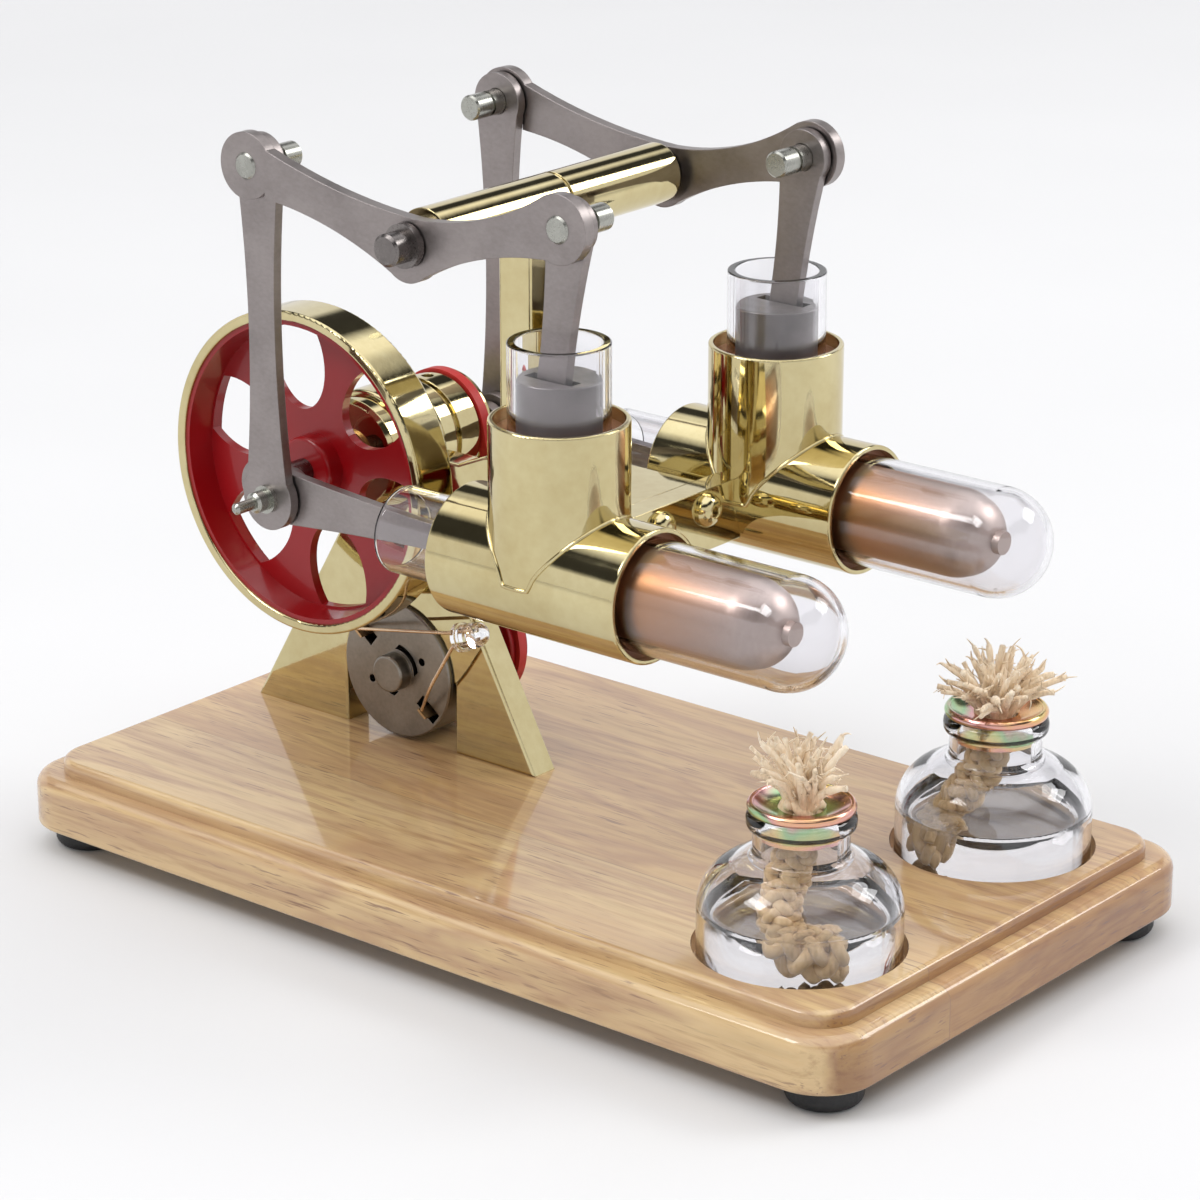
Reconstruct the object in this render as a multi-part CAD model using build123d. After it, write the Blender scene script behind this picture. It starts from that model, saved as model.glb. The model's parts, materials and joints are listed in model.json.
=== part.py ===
from build123d import *
import math
import os

# Twin-cylinder beam-type hot-air engine on a wooden board, in millimetres.
# +X runs from the flywheel end to the burner end, +Z is up, and Y is across.
# The front half (Y below zero) is built once and mirrored for the rear half.
os.makedirs("parts", exist_ok=True)

# ---- board and feet ----
foot_height = 5.0
foot_top_radius = 7.0
foot_bottom_radius = 5.8
foot_x = 90.0
foot_y = 46.0
board_length = 200.0
board_width = 114.0
board_corner = 11.0
board_bottom = foot_height
board_ledge = board_bottom + 10.3
board_top = board_bottom + 13.2
panel_inset = 4.7
panel_corner = 8.0
recess_radius = 19.2
recess_depth = 4.0

# ---- axes ----
axle_x = -56.8
axle_z = 76.2
crank_radius = 6.5
cylinder_y = 31.6
barrel_z = axle_z
tower_x = 19.0
pivot_x = -11.0
pivot_z = 132.4
eye_z = 140.6
rod_eye_x = -50.7
piston_eye_x = 23.5
crank_pin_x = axle_x + crank_radius
crosshead_x = 0.0
wrist_z = 108.0

# ---- layers across the engine, measured from the middle ----
web_inner, web_outer = 27.0, 29.6
link_inner, link_outer = 30.2, 32.2
rod_inner, rod_outer = 32.6, 34.6
beam_inner, beam_outer = 35.0, 37.4

# ---- frame ----
plate_back = 6.0
plate_edge = 0.6
leg_outer_left = -87.9
leg_outer_right = -14.1
leg_slope_left = math.tan(math.radians(30.4))
leg_slope_right = math.tan(math.radians(28.3))
housing_radius = 12.0
arm_right = -7.2
arm_low = 65.0
arm_high = 81.0
post_width = 7.6
post_front, post_back = -8.8, 0.0
tube_radius = 5.8
tube_half = 33.0
frame_screw_x = (-76.0, -24.0)
post_screw_z = (69.0, 77.0)
motor_x = -48.8
motor_z = 32.5
motor_radius = 13.8
motor_gap = 14.3

# ---- cylinders ----
tower_radius = 12.75
barrel_radius = 12.35
block_left = -2.5
block_right = 41.0
tower_top = 104.8
tower_rim = 11.85
barrel_rim = 11.5
rim_depth = 4.0
power_outer, power_inner = 9.3, 7.8
power_bottom, power_top = 87.0, 118.8
hot_outer, hot_inner = 10.4, 9.2
hot_left, hot_centre = 26.0, 69.9
guide_outer, guide_inner = 8.25, 7.15
guide_left, guide_right = -18.5, 4.0
bush_right = 10.0
piston_radius = 7.72
piston_low, piston_high = 96.0, 112.4
displacer_radius = 8.4

# ---- flywheel, pulleys and belt ----
wheel_radius = 32.0
wheel_front, wheel_back = -20.0, -10.5
window_count = 6
window_first = 43.0
shaft_radius = 2.5
drum_radius = 11.0
drum_front, drum_back = 10.4, 25.6
belt_y = 22.8
belt_half = 1.1
drum_belt_radius = 10.4
motor_belt_radius = 11.4

# ---- pins, shafts and the running clearance round them ----
fit = 0.08
rocker_radius = 3.0
pin_radius = 2.5
pin_tail = 24.6
eye_radius = 6.3
crank_pin_radius = 2.0
wrist_radius = 1.4
crosshead_pin = 1.0
rod_radius = 1.5
rotor_radius = 1.15

# ---- burners ----
burner_x = 72.25
burner_y = 29.9
burner_floor = board_top - recess_depth
bottle_height = 29.6
bottle_bore = 16.9
neck_bore = 7.1
fuel_level = 25.2
wick_radius = 4.0
wick_top = 45.6
tuft_top = 62.0


def cyl(axis, radius, low, high, a, b):
    """Cylinder along one axis from low to high; a and b place it on the other two axes in X, Y, Z order."""
    length = high - low
    middle = (low + high) / 2
    if axis == "X":
        return Pos(middle, a, b) * Rot(0, 90, 0) * Cylinder(radius, length)
    if axis == "Y":
        return Pos(a, middle, b) * Rot(90, 0, 0) * Cylinder(radius, length)
    return Pos(a, b, middle) * Cylinder(radius, length)


def ring(axis, outer, inner, low, high, a, b):
    """Tube along one axis."""
    return cyl(axis, outer, low, high, a, b) - cyl(axis, inner, low - 1, high + 1, a, b)


def block(x0, x1, y0, y1, z0, z1):
    """Box between two corners."""
    return Pos((x0 + x1) / 2, (y0 + y1) / 2, (z0 + z1) / 2) * Box(x1 - x0, y1 - y0, z1 - z0)


def plate(face, y0, y1):
    """Extrude a face drawn in X and Z from y0 to y1."""
    return extrude(Plane.XZ.offset(-y1) * face, amount=y1 - y0)


def turned(edges, x, y, z=0.0):
    """Revolve a closed outline of edges, drawn as (radius, height), about a vertical axis."""
    face = make_face(Plane.XZ * Wire(edges))
    return Pos(x, y, z) * revolve(face, Axis.Z)


def corners(*points):
    """The straight edges of a closed outline."""
    return Polyline(*points, close=True).edges()


def save(name, shape):
    """Write one node."""
    export_step(shape, f"parts/{name}.step")


def save_pair(name, shape):
    """Write the front node and its mirror image at the rear."""
    save("front_" + name, shape)
    save("rear_" + name, mirror(shape, Plane.XZ))


def both(shape):
    """The front solid and its mirror image as one group."""
    return Compound(children=[*shape.solids(), *mirror(shape, Plane.XZ).solids()])


def group(shapes):
    """Several solids as one group."""
    return Compound(children=[solid for shape in shapes for solid in shape.solids()])


# ---- board, feet and their screws ----
def make_board():
    slab = extrude(RectangleRounded(board_length, board_width, board_corner), board_ledge - board_bottom)
    slab = Pos(0, 0, board_bottom) * slab
    slab = fillet(slab.edges().group_by(Axis.Z)[-1], 2.6)
    slab = fillet(slab.edges().group_by(Axis.Z)[0], 0.8)
    width = board_length - 2 * panel_inset
    depth = board_width - 2 * panel_inset
    panel = extrude(RectangleRounded(width, depth, panel_corner), board_top - board_ledge + 1)
    panel = Pos(0, 0, board_ledge - 1) * panel
    panel = fillet(panel.edges().group_by(Axis.Z)[-1], 1.3)
    board = slab + panel
    for side in (-1, 1):
        board -= cyl("Z", recess_radius, burner_floor, board_top + 1, burner_x, side * burner_y)
    for x in (-foot_x, foot_x):
        for y in (-foot_y, foot_y):
            board -= cyl("Z", 1.5, board_bottom - 1, board_bottom + 8, x, y)
    for x in frame_screw_x:
        board -= cyl("Z", 1.7, board_bottom - 1, board_top + 1, x, plate_back / 2)
        board -= cyl("Z", 3.4, board_bottom - 1, board_bottom + 3, x, plate_back / 2)
    return board


def make_foot(x, y):
    outline = [
        Line((2.0, 2.6), (2.0, foot_height)),
        Line((2.0, foot_height), (foot_top_radius, foot_height)),
        Line((foot_top_radius, foot_height), (foot_top_radius, 2.0)),
        ThreePointArc((foot_top_radius, 2.0), (6.6, 0.55), (foot_bottom_radius, 0.0)),
        Line((foot_bottom_radius, 0.0), (3.6, 0.0)),
        Line((3.6, 0.0), (3.6, 2.6)),
        Line((3.6, 2.6), (2.0, 2.6)),
    ]
    return turned(outline, x, y)


def make_foot_screw(x, y):
    head = cyl("Z", 3.0, 1.2, 2.6, x, y)
    return head + cyl("Z", 1.5, 2.6, board_bottom + 8, x, y)


feet_at = [(x, y) for x in (-foot_x, foot_x) for y in (-foot_y, foot_y)]
save("base_board", make_board())
save("rubber_feet", group([make_foot(x, y) for x, y in feet_at]))
save("foot_screws", group([make_foot_screw(x, y) for x, y in feet_at]))


def make_frame_screw(x):
    head = cyl("Z", 3.2, board_bottom + 1.0, board_bottom + 3, x, plate_back / 2)
    return head + cyl("Z", 1.5, board_bottom + 3, 30.0, x, plate_back / 2)


save("frame_screws", group([make_frame_screw(x) for x in frame_screw_x]))


# ---- upright frame plate: two legs, the axle boss and the arm ----
def make_frame_plate():
    neck_z = 68.0
    rise = neck_z - board_top
    legs = make_face(Polyline(
        (leg_outer_left, board_top),
        (leg_outer_left + leg_slope_left * rise, neck_z),
        (leg_outer_right - leg_slope_right * rise, neck_z),
        (leg_outer_right, board_top),
        close=True,
    ))
    arm = make_face(Polyline(
        (axle_x, arm_low),
        (axle_x, 78.0),
        (-33.0, 78.0),
        (-26.0, arm_high),
        (arm_right, arm_high),
        (arm_right, arm_low),
        close=True,
    ))
    boss = Pos(axle_x, axle_z) * Circle(housing_radius)
    gap = Pos(motor_x, motor_z) * Circle(motor_radius)
    slot = Pos(motor_x, (board_top + motor_z) / 2 - 1) * Rectangle(2 * motor_gap, motor_z - board_top + 2)
    outline = legs + arm + boss - gap - slot
    body = plate(outline, 0, plate_back)
    body = fillet(body.edges().filter_by(Axis.Y).sort_by(Axis.Z)[-3:], 1.0)
    front_rim = body.faces().sort_by(Axis.Y)[0].outer_wire().edges()
    body = fillet(front_rim.filter_by(lambda edge: edge.center().Z > board_top), plate_edge)
    body -= cyl("Y", 8.0, -1, plate_back + 1, axle_x, axle_z)
    for x in frame_screw_x:
        body -= cyl("Z", 1.5, board_top - 1, 30.0, x, plate_back / 2)
    for z in post_screw_z:
        body -= cyl("Y", 1.6, -1, plate_back + 1, pivot_x, z)
    return body


save("frame_plate", make_frame_plate())


# ---- rocker post, tube and shaft ----
def make_post():
    left = pivot_x - post_width / 2
    post = block(left, left + post_width, post_front, post_back, arm_low, pivot_z)
    post = fillet(post.edges().filter_by(Axis.Z), 0.7)
    post -= cyl("Y", tube_radius, -40, 40, pivot_x, pivot_z)
    for z in post_screw_z:
        post -= cyl("Y", 1.5, -5.0, 1, pivot_x, z)
    return post


def make_rocker_tube():
    tube = ring("Y", tube_radius, rocker_radius, -tube_half, tube_half, pivot_x, pivot_z)
    groove = ring("Y", tube_radius + 1, tube_radius - 0.4, 1.4, 2.2, pivot_x, pivot_z)
    return tube - groove


def make_rocker_shaft():
    tip = 43.6
    shaft = cyl("Y", rocker_radius, -tip, tip, pivot_x, pivot_z)
    return chamfer(shaft.edges().filter_by(GeomType.CIRCLE), 0.5)


save("rocker_post", make_post())
save("rocker_tube", make_rocker_tube())
save("rocker_shaft", make_rocker_shaft())
inner_collar = ring("Y", 4.4, rocker_radius, -beam_inner + 0.3, -tube_half, pivot_x, pivot_z)
outer_collar = ring("Y", 4.1, rocker_radius, -beam_outer - 1.8, -beam_outer - 0.3, pivot_x, pivot_z)
save("rocker_collars", both(group([inner_collar, outer_collar])))


# ---- cross arm and the bridge that carries both cylinders ----
bridge_x0, bridge_x1 = 14.2, 19.2
bridge_low, bridge_high = 69.0, 81.0
arm_screws = [(-3.0, 74.6), (10.7, 74.6)]


def make_cross_arm():
    arm = block(arm_right, bridge_x0, -6.5, 14.2, 74.0, bridge_high)
    arm = fillet(arm.edges().group_by(Axis.Z)[-1].filter_by(Axis.X), 0.8)
    for y, z in arm_screws:
        arm -= cyl("X", 1.5, 4.0, bridge_x0 + 1, y, z + 2.4)
    return arm


def make_bridge():
    bridge = block(bridge_x0, bridge_x1, -21.0, 21.0, bridge_low, bridge_high)
    for side in (-1, 1):
        bridge -= cyl("X", barrel_radius, -10, 50, side * cylinder_y, barrel_z)
        bridge -= cyl("Z", tower_radius, barrel_z, 110, tower_x, side * cylinder_y)
    bridge = bridge.solids().sort_by(SortBy.VOLUME)[-1]
    for y, z in arm_screws:
        bridge -= cyl("X", 1.6, bridge_x0 - 1, bridge_x1 + 1, y, z + 2.4)
    return bridge


def make_domed_screw(length):
    """Screw along Z with its domed head above the origin and its shank below."""
    half = make_face([
        Line((0, -length), (1.5, -length)),
        Line((1.5, -length), (1.5, 0)),
        Line((1.5, 0), (3.2, 0)),
        Line((3.2, 0), (3.2, 0.5)),
        ThreePointArc((3.2, 0.5), (2.35, 1.75), (0.9, 2.25)),
        Line((0.9, 2.25), (0, 2.25)),
        Line((0, 2.25), (0, -length)),
    ])
    screw = revolve(Plane.XZ * half, Axis.Z)
    return screw - Pos(0, 0, 2.0) * extrude(RegularPolygon(1.25, 6), 2)


def make_cap_screw(y, z):
    """Domed screw whose head lies on the bridge."""
    return Pos(bridge_x1, y, z) * Rot(0, 90, 0) * make_domed_screw(bridge_x1 - 4.0)


def make_post_screw(z):
    """The same domed screw, through the plate into the post."""
    return Pos(pivot_x, plate_back, z) * Rot(-90, 0, 0) * make_domed_screw(plate_back + 5.0)


save("cross_arm", make_cross_arm())
save("cylinder_bridge", make_bridge())
screws = [make_cap_screw(y, z + 2.4) for y, z in arm_screws]
screws += [make_post_screw(z) for z in post_screw_z]
save("domed_screws", group(screws))


# ---- cylinder block: a horizontal barrel with a tower on top ----
def make_cylinder_block():
    y = -cylinder_y
    barrel = cyl("X", barrel_radius, block_left, block_right, y, barrel_z)
    barrel = fillet(barrel.edges().filter_by(GeomType.CIRCLE), 0.4)
    tower = cyl("Z", tower_radius, barrel_z, tower_top, tower_x, y)
    tower = fillet(tower.edges().filter_by(GeomType.CIRCLE).sort_by(Axis.Z)[-1], 0.35)
    body = barrel + tower
    body -= cyl("Z", tower_rim, tower_top - rim_depth, tower_top + 1, tower_x, y)
    body -= cyl("Z", power_outer, power_bottom, tower_top, tower_x, y)
    body -= cyl("Z", power_inner, barrel_z, power_bottom + 1, tower_x, y)
    body -= cyl("X", barrel_rim, block_right - rim_depth, block_right + 1, y, barrel_z)
    body -= cyl("X", hot_outer, hot_left, block_right, y, barrel_z)
    body -= cyl("X", hot_inner, bush_right, hot_left + 1, y, barrel_z)
    body -= cyl("X", guide_outer, block_left - 1, guide_right, y, barrel_z)
    body -= cyl("X", 4.0, guide_right - 1, bush_right + 1, y, barrel_z)
    return body


save_pair("cylinder_block", make_cylinder_block())

power_glass = ring("Z", power_outer, power_inner, power_bottom, power_top, tower_x, -cylinder_y)
power_glass = fillet(power_glass.edges().group_by(Axis.Z)[-1], 0.3)
save("power_glasses", both(power_glass))

guide_glass = ring("X", guide_outer, guide_inner, guide_left, guide_right, -cylinder_y, barrel_z)
guide_glass = fillet(guide_glass.edges().group_by(Axis.X)[0], 0.3)
save("guide_glasses", both(guide_glass))


def make_hot_tube():
    """Test tube with a round end."""
    y = -cylinder_y
    end = Pos(hot_centre, y, barrel_z)
    outer = cyl("X", hot_outer, hot_left, hot_centre, y, barrel_z) + end * Sphere(hot_outer)
    inner = cyl("X", hot_inner, hot_left - 1, hot_centre, y, barrel_z) + end * Sphere(hot_inner)
    return outer - inner


save("hot_tubes", both(make_hot_tube()))
hot_seal = ring("X", barrel_rim, hot_outer, block_right - rim_depth, block_right - 2.2, -cylinder_y, barrel_z)
power_seal = ring("Z", tower_rim, power_outer, tower_top - rim_depth, tower_top - 2.4, tower_x, -cylinder_y)
save("glass_seals", both(group([hot_seal, power_seal])))
bush = ring("X", 4.0, rod_radius + fit, guide_right, bush_right, -cylinder_y, barrel_z)
save("guide_bushes", both(bush))


# ---- axle bearings ----
def make_bearing_housing():
    front = cyl("Y", 11.0, -4.0, 0.0, axle_x, axle_z)
    front = chamfer(front.edges().filter_by(GeomType.CIRCLE).sort_by(Axis.Y)[0], 0.8)
    body = front + cyl("Y", 8.0, 0.0, 9.0, axle_x, axle_z)
    return body - cyl("Y", 5.0, -5, 10, axle_x, axle_z)


save("bearing_housing", make_bearing_housing())
bushes = [ring("Y", 5.0, shaft_radius + fit, y0, y1, axle_x, axle_z) for y0, y1 in ((-4.6, 1.0), (4.0, 9.6))]
save("shaft_bushes", group(bushes))


# ---- generator ----
can_back = 14.0
cap_front = -1.0
terminal_x, terminal_z = 8.3, -6.6
motor_boss_front = -4.0


def make_generator_can():
    can = cyl("Y", motor_radius, 0.0, can_back, motor_x, motor_z)
    can = fillet(can.edges().filter_by(GeomType.CIRCLE).sort_by(Axis.Y)[-1], 1.0)
    can += cyl("Y", 4.0, can_back, can_back + 1.6, motor_x, motor_z)
    can -= cyl("Y", motor_radius - 0.8, -1, can_back - 0.8, motor_x, motor_z)
    return can - cyl("Y", 1.15 + fit, can_back - 2, can_back + 3, motor_x, motor_z)


def make_end_cap():
    cap = cyl("Y", motor_radius, cap_front, 0.0, motor_x, motor_z)
    cap = chamfer(cap.edges().filter_by(GeomType.CIRCLE).sort_by(Axis.Y)[0], 0.3)
    cap += cyl("Y", 3.8, motor_boss_front, cap_front, motor_x, motor_z)
    cap = fillet(cap.edges().filter_by(GeomType.CIRCLE).sort_by(Axis.Y)[0], 0.5)
    kidney = ring("Y", 5.6, 4.4, -2, 1, 0, 0) & block(0, 6, -2, 1, -3.4, 3.4)
    for turn in (0, 180):
        spin = Pos(motor_x, 0, motor_z) * Rot(0, turn, 0)
        tab = Rot(0, 38.5, 0) * block(7.6, 13.0, -2, 1, -1.4, 1.4)
        cap -= spin * tab
        cap -= spin * cyl("Y", 0.8, -2, 1, 6.6, 3.2)
        cap -= Pos(motor_x, 0, motor_z) * Rot(0, turn - 45, 0) * kidney
    return cap


def make_terminal(sign):
    """Brass tab that stands out of a slot in the end cap."""
    x = motor_x + sign * terminal_x
    z = motor_z + sign * terminal_z
    tab = block(x - 1.2, x + 1.2, -3.2, 1.0, z - 0.25, z + 0.25)
    return Pos(x, 0, z) * Rot(0, 38.5, 0) * Pos(-x, 0, -z) * tab


save("generator_can", make_generator_can())
save("generator_end_cap", make_end_cap())
save("generator_terminals", group([make_terminal(-1), make_terminal(1)]))

# ---- light-emitting diode on its two wires ----
led_base = Location((-26.6, -6.0, 46.0), (0, 70, 0))
led_dome = Cylinder(2.5, 3.4, align=(Align.CENTER, Align.CENTER, Align.MIN)) + Pos(0, 0, 3.4) * Sphere(2.5)
led_flange = Cylinder(2.9, 1.0, align=(Align.CENTER, Align.CENTER, Align.MAX))
save("led_lens", led_base * (led_dome + led_flange))
wire_radius = 0.35


def make_wire(points, radii):
    """Bent wire of straight runs and tangent arcs."""
    path = FilletPolyline(*points, radius=radii)
    start = Plane(origin=path @ 0, z_dir=path % 0)
    return sweep(start * Circle(wire_radius), path=path)


def led_point(offset, back):
    """A point behind the diode's base, where offset is across the base."""
    return tuple((led_base * Location((offset, 0, back))).position)


upper_wire = [led_point(-1.27, -1.0), led_point(-1.27, -4.0),
              (motor_x - terminal_x, -3.0, motor_z - terminal_z + 0.8)]
lower_wire = [led_point(1.27, -1.0), led_point(1.27, -3.4), (-36.2, -5.4, 33.0),
              (motor_x + terminal_x, -3.0, motor_z + terminal_z + 0.8)]
save("led_leads", group([make_wire(upper_wire, [9.0]), make_wire(lower_wire, [3.2, 14.0])]))


# ---- belt ----
def belt_loop(extra):
    """Outline of the two pulleys with a tight band round them."""
    r1 = drum_belt_radius + extra
    r2 = motor_belt_radius + extra
    dx = motor_x - axle_x
    dz = motor_z - axle_z
    distance = math.hypot(dx, dz)
    along = math.atan2(dz, dx)
    spread = math.acos((r1 - r2) / distance)
    corners = []
    for turn in (spread, -spread):
        ux = math.cos(along + turn)
        uz = math.sin(along + turn)
        corners.append(((axle_x + r1 * ux, axle_z + r1 * uz), (motor_x + r2 * ux, motor_z + r2 * uz)))
    quad = make_face(Polyline(corners[0][0], corners[0][1], corners[1][1], corners[1][0], close=True))
    return quad + Pos(axle_x, axle_z) * Circle(r1) + Pos(motor_x, motor_z) * Circle(r2)


belt = plate(belt_loop(belt_half), belt_y - belt_half, belt_y + belt_half)
belt -= plate(belt_loop(-belt_half), belt_y - 2, belt_y + 2)
save("drive_belt", belt)


# ---- burners ----
def make_bottle():
    """Squat bottle: straight wall, round shoulder, short neck and a rolled lip."""
    outline = [
        Line((0.0, 0.0), (16.4, 0.0)),
        ThreePointArc((16.4, 0.0), (17.74, 0.56), (18.3, 1.9)),
        Line((18.3, 1.9), (18.3, 11.0)),
        ThreePointArc((18.3, 11.0), (16.8, 16.2), (12.6, 19.7)),
        ThreePointArc((12.6, 19.7), (11.15, 20.5), (9.6, 21.1)),
        ThreePointArc((9.6, 21.1), (8.86, 21.6), (8.6, 22.4)),
        Line((8.6, 22.4), (8.6, 26.0)),
        ThreePointArc((8.6, 26.0), (9.45, 26.5), (9.75, 27.6)),
        ThreePointArc((9.75, 27.6), (9.55, 28.9), (8.5, bottle_height)),
        Line((8.5, bottle_height), (neck_bore, bottle_height)),
        Line((neck_bore, bottle_height), (neck_bore, 22.0)),
        ThreePointArc((neck_bore, 22.0), (7.5, 20.5), (8.9, 19.75)),
        ThreePointArc((8.9, 19.75), (14.6, 16.3), (bottle_bore, 11.0)),
        Line((bottle_bore, 11.0), (bottle_bore, 2.9)),
        ThreePointArc((bottle_bore, 2.9), (16.46, 1.84), (15.4, 1.4)),
        Line((15.4, 1.4), (0.0, 1.4)),
        Line((0.0, 1.4), (0.0, 0.0)),
    ]
    return turned(outline, burner_x, -burner_y, burner_floor)


def make_fuel():
    level = fuel_level - burner_floor
    wet = bottle_bore - 0.05
    outline = corners((0.0, 1.45), (15.3, 1.45), (wet, 3.0), (wet, level), (0.0, level))
    return turned(outline, burner_x, -burner_y, burner_floor) - wick_core()


def wick_core():
    """Braided wick from the cap down to the floor of the bottle."""
    return cyl("Z", wick_radius, burner_floor + 1.5, wick_top, burner_x, -burner_y)


def make_cap():
    """Dished cap with a rolled rim on the lip and a skirt that plugs the neck."""
    hole = wick_radius + 0.05
    skirt = neck_bore - 0.05
    outline = [
        Line((hole, -0.4), (hole, 0.3)),
        ThreePointArc((hole, 0.3), (6.4, 0.55), (8.4, 1.35)),
        ThreePointArc((8.4, 1.35), (8.9, 1.65), (9.4, 1.35)),
        ThreePointArc((9.4, 1.35), (9.65, 0.7), (9.3, 0.0)),
        Line((9.3, 0.0), (skirt, 0.0)),
        Line((skirt, 0.0), (skirt, -4.8)),
        Line((skirt, -4.8), (skirt - 0.6, -4.8)),
        Line((skirt - 0.6, -4.8), (skirt - 0.6, -0.4)),
        Line((skirt - 0.6, -0.4), (hole, -0.4)),
    ]
    return turned(outline, burner_x, -burner_y, burner_floor + bottle_height)


def make_wick():
    outline = corners((0.0, wick_top), (wick_radius, wick_top), (7.6, 54.0), (6.6, 60.0), (3.0, tuft_top),
                      (0.0, tuft_top))
    return wick_core() + turned(outline, burner_x, -burner_y)


save("burner_bottles", both(make_bottle()))
save("burner_caps", both(make_cap()))
save("burner_wicks", both(make_wick()))
save("burner_fuel", both(make_fuel()))


# ---- crankshaft, flywheel and pulley ----
save("crankshaft", cyl("Y", shaft_radius, -web_outer, web_outer, axle_x, axle_z))


def make_crank_web():
    """Crank cheek with a round end at the axle and one at the pin, and its short pin stub."""
    pad = Pos(axle_x, axle_z) * Circle(5.2) + Pos(crank_pin_x, axle_z) * Circle(4.4)
    pad += Pos((axle_x + crank_pin_x) / 2, axle_z) * Rectangle(crank_radius, 8.4)
    web = plate(pad, -web_outer, -web_inner)
    web = fillet(web.edges().group_by(Axis.Y)[0], 0.4)
    hub = cyl("Y", 4.6, -web_inner, -web_inner + 1.2, axle_x, axle_z)
    return web + hub - cyl("Y", shaft_radius, -40, -20, axle_x, axle_z)


save("crank_webs", both(make_crank_web()))


def make_wheel_rim():
    rim = ring("Y", wheel_radius, wheel_radius - 2.0, wheel_front, wheel_back, axle_x, axle_z)
    return fillet(rim.edges(), 0.5)


def make_wheel_web():
    """Red wheel centre: outer wall, recessed web with six windows, and hub."""
    outer = wheel_radius - 2.0
    web_front, web_back = -14.0, -12.0
    wall_inner = 28.4
    body = cyl("Y", outer, wheel_front + 0.6, wheel_back - 0.6, axle_x, axle_z)
    throat = Cone(wall_inner, outer - 0.8, web_front - wheel_front + 0.1)
    body -= Pos(axle_x, (web_front + wheel_front) / 2, axle_z) * Rot(90, 0, 0) * throat
    body -= cyl("Y", wall_inner, web_back, wheel_back + 1, axle_x, axle_z)
    petal = Ellipse(10.2, 7.2)
    windows = Sketch()
    for step in range(window_count):
        angle = window_first + 360 / window_count * step
        windows += Rot(0, 0, angle) * Pos(21.6, 0) * petal
    windows = (windows & Circle(28.0)) - Circle(11.4)
    body -= plate(Pos(axle_x, axle_z) * windows, web_front - 1, web_back + 1)
    hub = cyl("Y", 6.6, -17.6, wheel_back, axle_x, axle_z)
    hub = fillet(hub.edges().filter_by(GeomType.CIRCLE), 0.8)
    body += hub
    return body - cyl("Y", shaft_radius, -30, 0, axle_x, axle_z)


save("flywheel_rim", make_wheel_rim())
save("flywheel_web", make_wheel_web())


def make_belt_pulley():
    drum = cyl("Y", drum_radius, drum_front, drum_back, axle_x, axle_z)
    drum = fillet(drum.edges().filter_by(GeomType.CIRCLE), 0.7)
    drum -= ring("Y", drum_radius + 1, drum_radius - 1.0, 14.4, 15.8, axle_x, axle_z)
    wall = drum_belt_radius - belt_half - 0.3
    drum -= ring("Y", drum_radius + 1, wall, belt_y - 1.45, belt_y + 1.45, axle_x, axle_z)
    drum -= cyl("Z", 1.25, axle_z + 1, axle_z + 12, axle_x, 18.2)
    return drum - cyl("Y", shaft_radius, 0, 30, axle_x, axle_z)


save("belt_pulley", make_belt_pulley())
save("pulley_set_screw", cyl("Z", 1.25, axle_z + shaft_radius, axle_z + 9.6, axle_x, 18.2))

# ---- generator rotor ----
save("generator_shaft", cyl("Y", rotor_radius, 1.0, 26.2, motor_x, motor_z))


def make_generator_pulley():
    wheel = cyl("Y", motor_belt_radius + 0.2, belt_y - 2.6, belt_y + 2.6, motor_x, motor_z)
    wheel = fillet(wheel.edges().filter_by(GeomType.CIRCLE), 0.5)
    wall = motor_belt_radius - belt_half - 0.3
    wheel -= ring("Y", motor_belt_radius + 2, wall, belt_y - 1.45, belt_y + 1.45, motor_x, motor_z)
    wheel += cyl("Y", 3.6, can_back + 2.6, belt_y - 2.6, motor_x, motor_z)
    return wheel - cyl("Y", rotor_radius, 0, 30, motor_x, motor_z)


save("generator_pulley", make_generator_pulley())

# ---- rocking beams ----
def make_beam():
    """Wing-shaped beam: a shallow valley on top and a blunt point under the pivot."""
    start = (rod_eye_x + 5.2, eye_z + 3.6)
    valley = (pivot_x + 1.6, pivot_z + 4.8)
    end = (piston_eye_x - 3.0, eye_z + 5.6)
    end_low = (piston_eye_x - 2.5, eye_z - 5.8)
    tip_right = (pivot_x + 3.6, pivot_z - 5.6)
    tip = (pivot_x - 0.4, pivot_z - 7.2)
    tip_left = (pivot_x - 4.2, pivot_z - 5.9)
    start_low = (rod_eye_x + 4.6, eye_z - 5.4)
    outline = make_face([
        ThreePointArc(start, (pivot_x - 18.4, pivot_z + 7.4), valley),
        ThreePointArc(valley, (pivot_x + 16.6, pivot_z + 7.0), end),
        Line(end, end_low),
        ThreePointArc(end_low, (pivot_x + 16.0, pivot_z - 0.3), tip_right),
        ThreePointArc(tip_right, tip, tip_left),
        ThreePointArc(tip_left, (pivot_x - 19.6, pivot_z + 0.1), start_low),
        Line(start_low, start),
    ])
    outline += Pos(rod_eye_x, eye_z) * Circle(eye_radius)
    outline += Pos(piston_eye_x, eye_z) * Circle(eye_radius)
    beam = plate(outline, -beam_outer, -beam_inner)
    for x in (rod_eye_x, piston_eye_x):
        beam -= cyl("Y", pin_radius, -40, -30, x, eye_z)
    return beam - cyl("Y", rocker_radius + fit, -40, -30, pivot_x, pivot_z)


def make_beam_pin(x):
    """Riveted pin: a low head outside, and a long tail inside with a washer groove."""
    pin = cyl("Y", pin_radius, -beam_outer - 0.35, -pin_tail, x, eye_z)
    pin = chamfer(pin.edges().filter_by(GeomType.CIRCLE), 0.35)
    groove = ring("Y", pin_radius + 1, pin_radius - 0.4, -29.6, -28.9, x, eye_z)
    return pin - groove


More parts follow.
